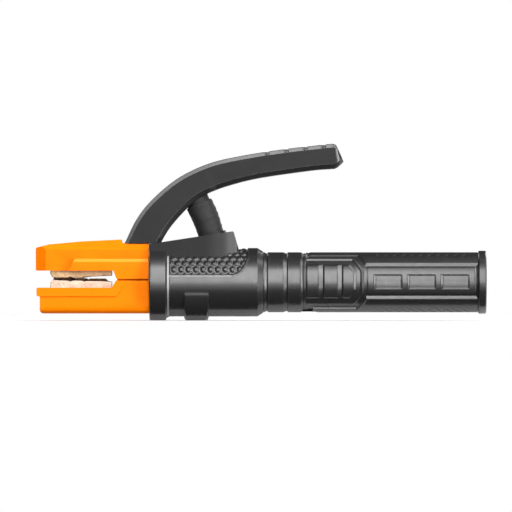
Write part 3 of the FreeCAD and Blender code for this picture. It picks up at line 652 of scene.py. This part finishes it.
def handle_radii(xs, angles):
    """Outer radius of the handle with its rings, ribbed plate, borders, panel, pockets and anti-slip bars."""
    x, angle = np.meshgrid(xs, angles, indexing="ij")
    reach = side_reach(angle, HANDLE_R)
    sunken = np.zeros_like(x)
    for start, end in RING_NOTCHES:
        sunken += saw_notch(x, start, end, 0.75, wall=0.5)
    top = math.pi / 2 * HANDLE_R + 1

    def flat(outline):
        return unroll_outline(outline, HANDLE_R)

    upper_edge, lower_edge = flat(SHELL_EDGE_TOP), flat(SHELL_EDGE_LOW)
    upper_edge[0] = (upper_edge[0][0], top)
    lower_edge[-1] = (lower_edge[-1][0], -top)
    in_zone = inside_distance(x, reach, [(-97.0, top)] + upper_edge + lower_edge + [(-97.0, -top)])
    chamfered = np.interp(in_zone, [-1.0, -0.2, 0.6], [0, 0.2, ZONE_DEPTH])
    width = np.interp(-reach, [9, 17], [0.8, 0.5])
    ridged = np.interp(in_zone / width, [-1.3, -0.6, -0.2, 0.8], [0, -0.42, -0.42, ZONE_DEPTH])
    upper = np.maximum(ease(reach / 4 + 0.5), ease((-95.0 - x) / 1.5))
    sunken += upper * chamfered + (1 - upper) * ridged
    raised = np.zeros_like(x)
    plate = inside_distance(x, reach, flat(RIB_PLATE))
    raised += 0.65 * ease(plate / 1.7)
    for start, end in RIB_NOTCHES:
        raised -= saw_notch(x, start, end, 0.9, wall=0.7) * ease((plate - 0.3) / 1.2)
    border = flat(BORDER)
    border[0] = (border[0][0], top)
    border[-1] = (border[-1][0], -top)
    low_side = ease((-reach - 6.5) / 3)
    raised += bead(line_distance(x, reach, border), 0.72 - 0.42 * low_side, 0.95)
    raised += 0.3 * ease(inside_distance(x, reach, flat(PANEL)) / 1.0)
    for start, end in POCKETS:
        low, high = unrolled(POCKET_LOW, HANDLE_R), unrolled(POCKET_HIGH, HANDLE_R)
        inside = inside_distance(x, reach, [(start, low), (end, low), (end, high), (start, high)])
        sunken += sunk(inside, 0.5, 1.0) * np.interp(reach, [low, low + 4], [0.35, 1.0])
    for side in (1, -1):
        height = side * reach
        bars = (x + 62.0 - BAR_SLANT * (height - 18.0)) / BAR_PITCH
        within = ease((height - BARS_LOW) / 0.6) * ease((BARS_HIGH - height) / 0.6)
        within = within * ease(x + 61) * ease(-9 - x)
        sunken += 0.3 * within * ease(2.2 - np.abs(bars - np.round(bars)) * BAR_PITCH / 0.42)
    body = HANDLE_R - sunken + raised
    body = np.where(x < HEAD_REAR + 0.05, 15.0, body)
    rim = np.interp(x, [RIM_FRONT - 0.25, RIM_FRONT, RIM_FRONT + 0.6, -0.5, 0],
                    [0, RIM_R - 0.6, RIM_R, RIM_R, RIM_R - 0.5])
    return np.where(x >= RIM_FRONT - 0.26, np.maximum(rim, HANDLE_R - 0.5), body)


def make_handle():
    xs = spaced((HANDLE_FRONT, HEAD_REAR, 5), (HEAD_REAR + 0.1, -116.3, 0.2), (-116.3, -108.5, 1.6),
                (-108.5, -105.7, 0.2), (-105.7, -99.1, 1.3), (-99.1, -62.5, 0.28),
                (-62.5, RIM_FRONT - 0.3, 0.42), (RIM_FRONT - 0.25, 0, 0.25))
    xs = np.unique(np.concatenate([xs, [HEAD_REAR, HEAD_REAR + 0.1]]))
    angles = np.linspace(0, 2 * math.pi, 280, endpoint=False)
    outer = turned_rings(xs, angles, handle_radii(xs, angles))
    inner_profile = [(0, 12.0), (-0.5, 11.5), (-20.0, 11.5), (-20.01, 13.2), (HANDLE_FRONT, 13.2)]
    inner = [turned_rings([x], angles, np.full((1, len(angles)), r)) for x, r in inner_profile]
    grip = grid_piece("handle_grip_skin", np.concatenate([outer] + inner), closed=True)
    screw = middle("handle_screw")
    floor = span("handle_screw")[0][2]
    cut(grip, rod((screw[0], 0, floor - 6), (0, 0, 1), 4.5, 6.55),
        rod((screw[0], 0, floor + 0.5), (0, 0, 1), 4.5, 1.9, end_radius=2.6),
        rod((screw[0], 0, floor - 1), (0, 0, 1), 2.6, 8))
    return shade(grip, 30)


# ---------------------------------------------------------------- lever cover
LEVER_HALF = 8.0
LEVER_SPANS = [((-192.8, 20.6), (-173.6, 20.6)), ((-187.1, 32.4), (-171.0, 25.3)),
               ((-181.2, 40.7), (-167.4, 30.5)), ((-173.3, 48.5), (-162.4, 36.2)),
               ((-165.4, 54.7), (-156.9, 41.7)), ((-157.5, 59.2), (-150.4, 46.2)),
               ((-149.6, 62.6), (-143.9, 49.1)), ((-141.8, 65.0), (-137.8, 51.2)),
               ((-131.2, 67.2), (-128.4, 53.8)), ((-120.2, 69.1), (-118.0, 55.9)),
               ((-103.9, 71.4), (-102.3, 58.2)), ((-91.5, 72.8), (-90.5, 59.7)),
               ((-84.6, 73.6), (-82.6, 60.25))]
LEVER_END = [((-82.0, 73.8), (-80.8, 60.35), 0.0), ((-80.9, 73.6), (-79.3, 61.1), 0.15),
             ((-80.2, 73.2), (-78.0, 62.2), 0.45), ((-79.6, 72.5), (-76.8, 63.3), 1.0),
             ((-79.0, 71.3), (-76.0, 64.2), 1.75)]
THUMB_NOTCHES = (-116.3, -105.9, -95.7, -86.1)
NOTCH_RUN, NOTCH_STEP = 2.6, 0.55


def lever_section(outer, inner, inset, notch):
    """Ring round the lever: chamfered along the top, rounded underneath. notch lowers its top edge."""
    outer, inner = np.array(outer), np.array(inner)
    depth = np.linalg.norm(inner - outer)
    down = (inner - outer) / depth
    half = LEVER_HALF - inset
    chamfer, bottom = min(1.9, 0.25 * depth), min(2.7, 0.3 * depth)
    side = [(0.0, 0.0), (half - 3.6, 0.0), (half - 1.5, 0.0), (half - 0.95, 0.06), (half - 0.68, 0.22)]
    side += [(half - 0.1, chamfer - 0.2), (half, chamfer + 0.1), (half, depth - bottom)]
    side += [(half - 0.14, depth - 0.9 * bottom), (half - 1.35, depth - 0.22 * bottom)]
    side += [(half - 1.8, depth - 0.06 * bottom), (half - 2.6, depth), (0.0, depth)]
    share = [0.45, 0.45, 0.7, 1.0, 1.0, 0.75, 0.2] + [0.0] * (len(side) - 7)
    ring = [(y, t + notch * s) for (y, t), s in zip(side, share)]
    ring += [(-y, t) for y, t in ring[-2:0:-1]]
    return [(outer[0] + down[0] * t, y, outer[1] + down[1] * t) for y, t in ring]


def notch_depth(x):
    """Depth of the thumb notches: a ramp down and a steep step back up."""
    depth = 0.0
    for centre in THUMB_NOTCHES:
        if centre - NOTCH_RUN < x <= centre:
            depth = (x - centre + NOTCH_RUN) / NOTCH_RUN
        elif centre < x < centre + NOTCH_STEP:
            depth = 1 - (x - centre) / NOTCH_STEP
    return 0.85 * depth


def make_lever_cover():
    outer = smooth_line([a for a, b in LEVER_SPANS], 60)
    inner = smooth_line([b for a, b in LEVER_SPANS], 60)
    rings, last = [], -1e9
    for a, b in zip(outer, inner):
        near = any(-NOTCH_RUN - 0.6 < a[0] - centre < NOTCH_STEP + 0.6 for centre in THUMB_NOTCHES)
        if a[0] - last >= (0.2 if near else 1.2):
            rings.append(lever_section(a, b, 0.0, notch_depth(a[0])))
            last = a[0]
    rings += [lever_section(a, b, inset, 0.0) for a, b, inset in LEVER_END]
    cover = grid_piece("lever_cover_skin", np.array(rings), closed=False)
    up = -SPRING_DOWN
    combine(cover, rod(SEAT - up * 0.9, up, SEAT_R, 9.9, sides=96, name="seat"), "UNION")
    combine(cover, rod(SEAT - up * 5.5, up, 2.9, 1.0, end_radius=3.5, name="spigot"), "UNION")
    combine(cover, rod(SEAT - up * 4.5, up, 3.5, 6.0, name="spigot"), "UNION")
    return grain(shade(cover, 34, flat_faces=True), lever_finish)


def lever_finish(at, normal):
    """1 on the lever's grained sides and on the spring's seat."""
    from_seat = at - np.array(SEAT)[:, None]
    along = np.array(SPRING_DOWN) @ from_seat
    off_axis = np.linalg.norm(from_seat - np.outer(SPRING_DOWN, along), axis=0)
    return (np.abs(normal[1]) > 0.98) | ((off_axis < SEAT_R + 0.05) & (np.abs(along) < 9))


# ---------------------------------------------------------------- jaw insulators
PARTING_LOW, PARTING_TOP = 0.9, 1.8
LOWER_REAR = HEAD_FRONT - 0.1
TONGUE_HALF, TONGUE_TOP = 9.2, 3.4
JAW_SCREWS_UPPER = (-226.0, -205.0)
JAW_SCREWS_LOWER = (-225.0, -206.0)


def upper_insulator():
    top_half, cheek_half = 9.4, 13.0
    profile = rounded([(LIP_FRONT, 6.2), (LIP_FRONT, 18.4), (-233.0, 20.2), (-215.4, 21.8), (-194.3, 22.8),
                       (-193.9, 21.0), (INSULATOR_REAR, 21.0), (INSULATOR_REAR, PARTING_TOP),
                       (-196.9, PARTING_TOP), (-198.6, 6.2)],
                      [0.8, 1.0, 2, 0, 0.5, 0.3, 0, 0, 0.3, 0.3], steps=3)
    shell = side_prism(profile, top_half, "upper_insulator_skin")
    gable = [(-top_half, 0), (-top_half, 17.4), (-5.8, 22.9), (5.8, 22.9), (top_half, 17.4), (top_half, 0)]
    combine(shell, long_prism(gable, LIP_FRONT - 5, -170), "INTERSECT")
    nose = [(LIP_FRONT, -6.4), (-234.7, -top_half), (-170, -top_half), (-170, top_half), (-234.7, top_half),
            (LIP_FRONT, 6.4)]
    combine(shell, plan_prism(nose, 0, 30), "INTERSECT")
    cheeks = side_prism([(-222.4, 6.2), (-219.2, 12.8), (INSULATOR_REAR - 0.6, 12.8), (INSULATOR_REAR, 11.0),
                         (INSULATOR_REAR, PARTING_TOP), (-196.9, PARTING_TOP), (-198.6, 6.2)],
                        cheek_half, "cheeks")
    ledge = [(-cheek_half, 0), (-cheek_half, 10.8), (-cheek_half + 0.9, 12.6), (-top_half, 12.8),
             (top_half, 12.8), (cheek_half - 0.9, 12.6), (cheek_half, 10.8), (cheek_half, 0)]
    combine(cheeks, long_prism(ledge, -260, -170), "INTERSECT")
    combine(shell, cheeks, "UNION")
    soften(shell, 0.4, 3)
    room = box_piece(-233.4, INSULATOR_REAR + 1, 6.9, 0, 13.3)
    throat = side_prism([(-198.0, 13.2), (-192.2, 18.7), (-192.2, 24.0), (INSULATOR_REAR + 1, 24.0),
                         (INSULATOR_REAR + 1, 12.3)], 4.7)
    cut(shell, room, throat, box_piece(-197.0, INSULATOR_REAR + 1, TONGUE_HALF + 0.3, 0, TONGUE_TOP + 0.4))
    for x in JAW_SCREWS_UPPER:
        cut(shell, rod((x, 0, 13.2), (0, 0, 1), 3.1, 2.0))
    screw, top = middle("upper_insulator_screw"), span("upper_insulator_screw")[1][2]
    cut(shell, rod((screw[0], 0, top + 6), (0, 0, -1), 3.9, 6.6),
        rod((screw[0], 0, top - 0.55), (0, 0, -1), 3.9, 1.8, end_radius=2.1),
        rod((screw[0], 0, top), (0, 0, -1), 2.1, 10))

    # The ledge chamfer's faces get the lighter orange: a painted highlight.
    def on_ledge(at, normal):
        beside = (np.abs(at[2] - 11.5) < 2) & (np.abs(at[1]) > top_half + 0.1)
        return beside & (np.abs(normal[2] - 0.615) < 0.315)

    return grain(shade(shell, 30, flat_faces=True), on_ledge)


def lower_insulator():
    flange_half, lower_half = 13.4, 12.7
    body_profile = rounded([(-237.8, -2.9), (JAW_REAR, -2.9), (-197.3, PARTING_LOW),
                            (LOWER_REAR, PARTING_LOW), (LOWER_REAR, -16.6), (-237.8, -16.6)],
                           [0, 0.3, 0.3, 0, 0, 2.4], steps=5)
    body = side_prism(body_profile, lower_half, "lower_insulator_skin")
    section = rounded([(-lower_half, 5), (-lower_half, -16.6), (lower_half, -16.6), (lower_half, 5)],
                      [0, 4.2, 4.2, 0], steps=8)
    combine(body, long_prism(section, -260, -170), "INTERSECT")
    band_outline = rounded([(LIP_FRONT + 0.5, -2.9), (JAW_REAR, -2.9), (-197.3, PARTING_LOW),
                            (-191.2, PARTING_LOW), (-197.0, -7.5), (LIP_FRONT + 0.5, -7.5)],
                           [0.5, 0.3, 0.3, 0, 0.3, 0.9], steps=3)
    combine(body, side_prism(band_outline, flange_half, "band"), "UNION")
    soften(body, 0.4, 3)
    combine(body, box_piece(-196.6, INSULATOR_REAR, TONGUE_HALF, -5.0, TONGUE_TOP, "tongue"), "UNION")
    cut(body, box_piece(-233.4, INSULATOR_REAR + 1, 6.9, -11.0, 5))
    for x in JAW_SCREWS_LOWER:
        cut(body, rod((x, 0, -12.8), (0, 0, 1), 3.1, 2.0))
    screw, low = middle("lower_insulator_screw"), span("lower_insulator_screw")[0][2]
    cut(body, rod((screw[0], 0, low - 6), (0, 0, 1), 3.9, 6.35),
        rod((screw[0], 0, low + 0.3), (0, 0, 1), 3.9, 1.8, end_radius=2.1),
        rod((screw[0], 0, low), (0, 0, 1), 2.1, 7))
    return shade(body, 30, flat_faces=True)


# ---------------------------------------------------------------- copper jaws
GROOVES = [(-218.6, 26.0), (-211.9, 20.0), (-201.6, -25.0)]
RIDGE_HALF, RIDGE_TOP = 3.6, 2.0


def cast_skin(piece, voxel_mm, depth_mm, seed):
    """Turns a piece into an even fine mesh with a lumpy cast skin."""
    remesh = piece.modifiers.new("remesh", "REMESH")
    remesh.mode, remesh.voxel_size, remesh.use_smooth_shade = "VOXEL", voxel_mm * METRES, True
    relax = piece.modifiers.new("relax", "CORRECTIVE_SMOOTH")
    relax.iterations, relax.smooth_type, relax.use_only_smooth = 3, "LENGTH_WEIGHTED", True
    settle(piece)
    mesh = piece.data
    offset = Vector((seed, seed * 0.7, -seed))
    normals = [v.normal.copy() for v in mesh.vertices]
    for vertex, normal in zip(mesh.vertices, normals):
        at = vertex.co / METRES
        lump = noise.fractal(at * 0.45 + offset, 1.0, 2.0, 3) + 0.5 * noise.noise(at * 1.6 + offset)
        vertex.co += normal * (lump * depth_mm * METRES)
    mesh.shade_smooth()
    return piece


def groove_rods(height, radius):
    """Cutters for the angled electrode grooves across a jaw."""
    cutters = []
    for x, turn in GROOVES:
        way = Vector((math.sin(math.radians(turn)), math.cos(math.radians(turn)), 0))
        cutters.append(rod(Vector((x, 0, height)) - way * 14, way, radius, 28, sides=32))
    return cutters


def lower_jaw():
    """Jaw with a ridge along its middle, a groove along the ridge and saw cuts at the nose."""
    outline = rounded([(JAW_FRONT, -5.0), (JAW_FRONT, 0.2), (-230.6, 1.4), (-227.0, 1.1), (-213, 0.9),
                       (-204.0, 0.7), (JAW_REAR, 0.3), (JAW_REAR, -5.0)], [0, 0.8, 0.8, 0, 0, 0, 0.3, 0])
    jaw = side_prism(outline, 6.4, "lower_jaw_skin")
    ridge = [(JAW_FRONT + 1.2, -1.0), (-230.6, RIDGE_TOP + 0.3), (-215.5, RIDGE_TOP + 0.3),
             (-212.5, RIDGE_TOP), (-202.8, RIDGE_TOP), (-201.2, 0.5), (JAW_REAR, 0.3), (JAW_REAR, -1.0)]
    combine(jaw, side_prism(ridge, RIDGE_HALF, "ridge"), "UNION")
    cut(jaw, *groove_rods(1.75, 1.25))
    cut(jaw, rod((JAW_FRONT - 1, 0, RIDGE_TOP + 0.5), (1, 0, 0), 1.3, 40, sides=32))
    for k in range(3):
        x = -228.6 + 2.2 * k
        for side in (-1, 1):
            cut(jaw, rod((x - 2.2, side * 6.78, 2.6), (0.62, 0, -0.78), 0.5, 7.5, sides=16))

    # The ridge and the upward faces get the near-black copper: painted shade in the gap under the upper jaw.
    def gripping(at, normal):
        return (at[2] > 0.9) & ((normal[2] > 0.6) | (np.abs(at[1]) < RIDGE_HALF + 0.2))

    return grain(cast_skin(jaw, 0.3, 0.07, 3.0), gripping)


def upper_jaw():
    outline = rounded([(JAW_FRONT, 9.4), (JAW_FRONT, 4.2), (-230.9, 2.4), (-214.5, 2.4), (-211.0, 3.0),
                       (JAW_REAR, 3.5), (JAW_REAR, 9.4)], [0, 0.6, 0.9, 0, 0, 0.4, 0])
    jaw = side_prism(outline, 6.4, "upper_jaw_skin")
    cut(jaw, *groove_rods(1.55, 1.25))
    # Its downward faces get the near-black copper: painted shade in the gap between the jaws.
    return grain(cast_skin(jaw, 0.3, 0.07, 11.0), lambda at, normal: normal[2] < -0.5)


# ---------------------------------------------------------------- spring and sleeve
SPRING_PITCH = 3.4
SPRING_R, WIRE_R = 4.9, 1.0


def spring_frame():
    """Axes of the spring: up, and two directions across it."""
    up = -SPRING_DOWN
    side = Vector((0, 1, 0))
    return up, side.cross(up).normalized(), side


def axis_point(height):
    """Point on the spring's slightly bowed centre line."""
    up, forward, _ = spring_frame()
    share = height / SPRING_LENGTH
    bow = 0.5 * math.sin(math.pi * min(max((share - 0.3) / 0.7, 0), 1))
    return SPRING_BASE + up * height + forward * bow


def lever_spring():
    up, forward, side = spring_frame()
    rise = SPRING_LENGTH - 2 * WIRE_R
    turns, per_turn, around = 7.5, 44, 14
    rings = []
    for k in range(int(turns * per_turn) + 1):
        turn = k / per_turn
        dead = 0.9
        live = min(max((turn - dead) / (turns - 2 * dead), 0), 1)
        ends = 2 * WIRE_R * 0.95
        height = WIRE_R + ends * min(turn, dead) + live * (rise - 2 * dead * ends)
        height += ends * max(turn - (turns - dead), 0)
        a = 2 * math.pi * turn
        out = forward * math.cos(a) + side * math.sin(a)
        centre = axis_point(height) + out * SPRING_R
        rings.append([centre + (out * math.cos(b) + up * math.sin(b)) * WIRE_R
                      for b in (2 * math.pi * j / around for j in range(around))])
    spring = grid_piece("lever_spring_coil", np.array(rings), closed=False)
    return shade(spring, 40)


def spring_sleeve():
    """Heat-shrunk rubber sleeve: the coils under it show as slanted rings, with small puckers between."""
    up, forward, side = spring_frame()
    around, rows = 96, 150
    low = 0.1
    outer, inner = [], []
    for k in range(rows):
        share = k / (rows - 1)
        ring_out, ring_in = [], []
        for j in range(around):
            a = 2 * math.pi * j / around
            top = SPRING_LENGTH - 0.05 + 0.04 * SLEEVE_R * math.cos(a)
            height = low + (top - low) * share
            out = forward * math.cos(a) + side * math.sin(a)
            edge = min(1.0, (top - height) / 0.9)
            coil = math.cos(2 * math.pi * height / SPRING_PITCH - a)
            pucker = noise.noise(Vector((2.2 * math.cos(a), 2.2 * math.sin(a), height * 0.8)))
            creased = float(ease(0.9 * math.cos(a) + 0.1))
            swell = (0.04 + 0.1 * creased) * (0.5 + 0.5 * coil) ** 1.4 + (0.04 + 0.1 * creased) * pucker
            radius = SLEEVE_R - 0.75 + 0.6 * min(1.0, share * 1.3) + swell * edge - 0.3 * (1 - edge) ** 2
            centre = axis_point(height)
            ring_out.append(centre + out * radius)
            ring_in.append(centre + out * (SPRING_R + WIRE_R + 0.1))
        outer.append(ring_out)
        inner.append(ring_in)
    sleeve = grid_piece("spring_sleeve_skin", np.array(outer + inner[::-1]), closed=True)
    return shade(sleeve, 50)


# ---------------------------------------------------------------- assembly
dress(make_head_housing(), "holder", ["head_housing"], "grey_plastic", grey_plastic, ramp_plastic(),
      painted_highlight_plastic)
dress(make_handle(), "holder", ["handle_grip"], "grey_plastic", grey_plastic)
dress(make_lever_cover(), "lever", ["lever_cover"], "grey_plastic", grey_plastic, grey_grain)
dress(upper_insulator(), "lever", ["upper_jaw_insulator"], "orange_plastic", orange_plastic, orange_painted_highlight)
dress(lower_insulator(), "holder", ["lower_jaw_insulator"], "orange_plastic", orange_plastic)
dress(lower_jaw(), "holder", ["lower_jaw"], "jaw_copper", bright_copper, painted_shade_copper)
dress(upper_jaw(), "lever", ["upper_jaw"], "jaw_copper", jaw_copper, painted_shade_copper)
for soft, node, slot, material in (
    (lever_spring(), "lever_spring", "spring_steel", spring_steel),
    (spring_sleeve(), "spring_sleeve", "sleeve_rubber", sleeve_rubber),
):
    soft.data.materials.append(material)
    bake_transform(soft)
    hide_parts(node)

CAD_MATERIALS = {
    "conductor_body": cast_brass, "cable_socket": cast_brass, "lever_core": cast_brass,
    "pivot_bush": bronze, "pivot_pin": pin_steel, "pivot_rings": spring_steel,
    "pivot_washers": zinc_steel, "spring_cup": black_steel,
    "lower_jaw_screws": zinc_steel, "upper_jaw_screws": zinc_steel, "lower_insulator_screw": zinc_steel,
    "upper_insulator_screw": zinc_steel, "housing_screw": zinc_steel, "handle_screw": black_steel,
    "clamp_screw_front": zinc_steel, "clamp_screw_rear": zinc_steel,
}
for node, material in CAD_MATERIALS.items():
    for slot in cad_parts[node].material_slots:
        slot.material = material


# ---------------------------------------------------------------- stage, lights and camera
def make_stage():
    low = cad_box[0].z / METRES
    floor = mesh_from("floor", [(-620, -9.5, low), (380, -9.5, low), (380, 500, low), (-620, 500, low)],
                      [(0, 1, 2, 3)])
    s = Surface("floor_paint", (0.8, 0.8, 0.8), 0.7, specular=0.0)
    s.roughness(s.noise(40, 3), 0.65, 0.8)
    s.shader.inputs["Emission Color"].default_value = (1, 1, 1, 1)
    s.shader.inputs["Emission Strength"].default_value = 0.25
    floor.data.materials.append(s.material)
    world = bpy.data.worlds.new("studio")
    world.use_nodes = True
    nodes, links = world.node_tree.nodes, world.node_tree.links
    seen, lit = nodes["Background"], nodes.new("ShaderNodeBackground")
    seen.inputs["Color"].default_value = (1, 1, 1, 1)
    lit.inputs["Color"].default_value = (1, 1, 1, 1)
    lit.inputs["Strength"].default_value = 0.05
    pick = nodes.new("ShaderNodeMixShader")
    links.new(nodes.new("ShaderNodeLightPath").outputs["Is Camera Ray"], pick.inputs["Fac"])
    links.new(lit.outputs["Background"], pick.inputs[1])
    links.new(seen.outputs["Background"], pick.inputs[2])
    links.new(pick.outputs["Shader"], nodes["World Output"].inputs["Surface"])
    scene.world = world


def area_light(name, azimuth, elevation, distance, width, height, power):
    """Soft box aimed at the holder. Azimuth 0 is the camera's side and 90 the cable end."""
    centre = (Vector(cad_box[0]) + Vector(cad_box[1])) / 2
    a, e = math.radians(azimuth), math.radians(elevation)
    away = Vector((math.sin(a) * math.cos(e), -math.cos(a) * math.cos(e), math.sin(e)))
    lamp = bpy.data.lights.new(name, "AREA")
    lamp.shape, lamp.size, lamp.size_y, lamp.energy = "RECTANGLE", width, height, power
    light = bpy.data.objects.new(name, lamp)
    light.location = centre + away * distance
    light.rotation_euler = away.to_track_quat("Z", "Y").to_euler()
    scene.collection.objects.link(light)


VIEW_WIDTH = 0.273  # metres across the picture, at the holder
LENS = 800.0


def make_camera():
    data = bpy.data.cameras.new("camera")
    data.lens, data.sensor_width = LENS, 36.0
    distance = VIEW_WIDTH * LENS / data.sensor_width
    camera = bpy.data.objects.new("camera", data)
    camera.location = (-0.1227, -distance, 0.0140)
    camera.rotation_euler = (math.radians(90), 0, 0)
    scene.collection.objects.link(camera)
    scene.camera = camera


make_stage()
area_light("key", 0, 23, 1.1, 0.4, 1.15, 8.1)
area_light("tall_fill", 0, 22, 1.3, 0.5, 2.6, 5.5)
area_light("left", -30, 28, 1.1, 0.55, 0.8, 5)
area_light("right", 50, 14, 1.0, 0.42, 1.4, 15)
area_light("high_right", 85, 58, 1.0, 0.6, 0.6, 4)
area_light("back_right", 145, 14, 1.3, 0.5, 0.8, 5)
area_light("back_left", -145, 14, 1.3, 0.5, 0.8, 5)
make_camera()
scene.view_settings.view_transform = "Standard"
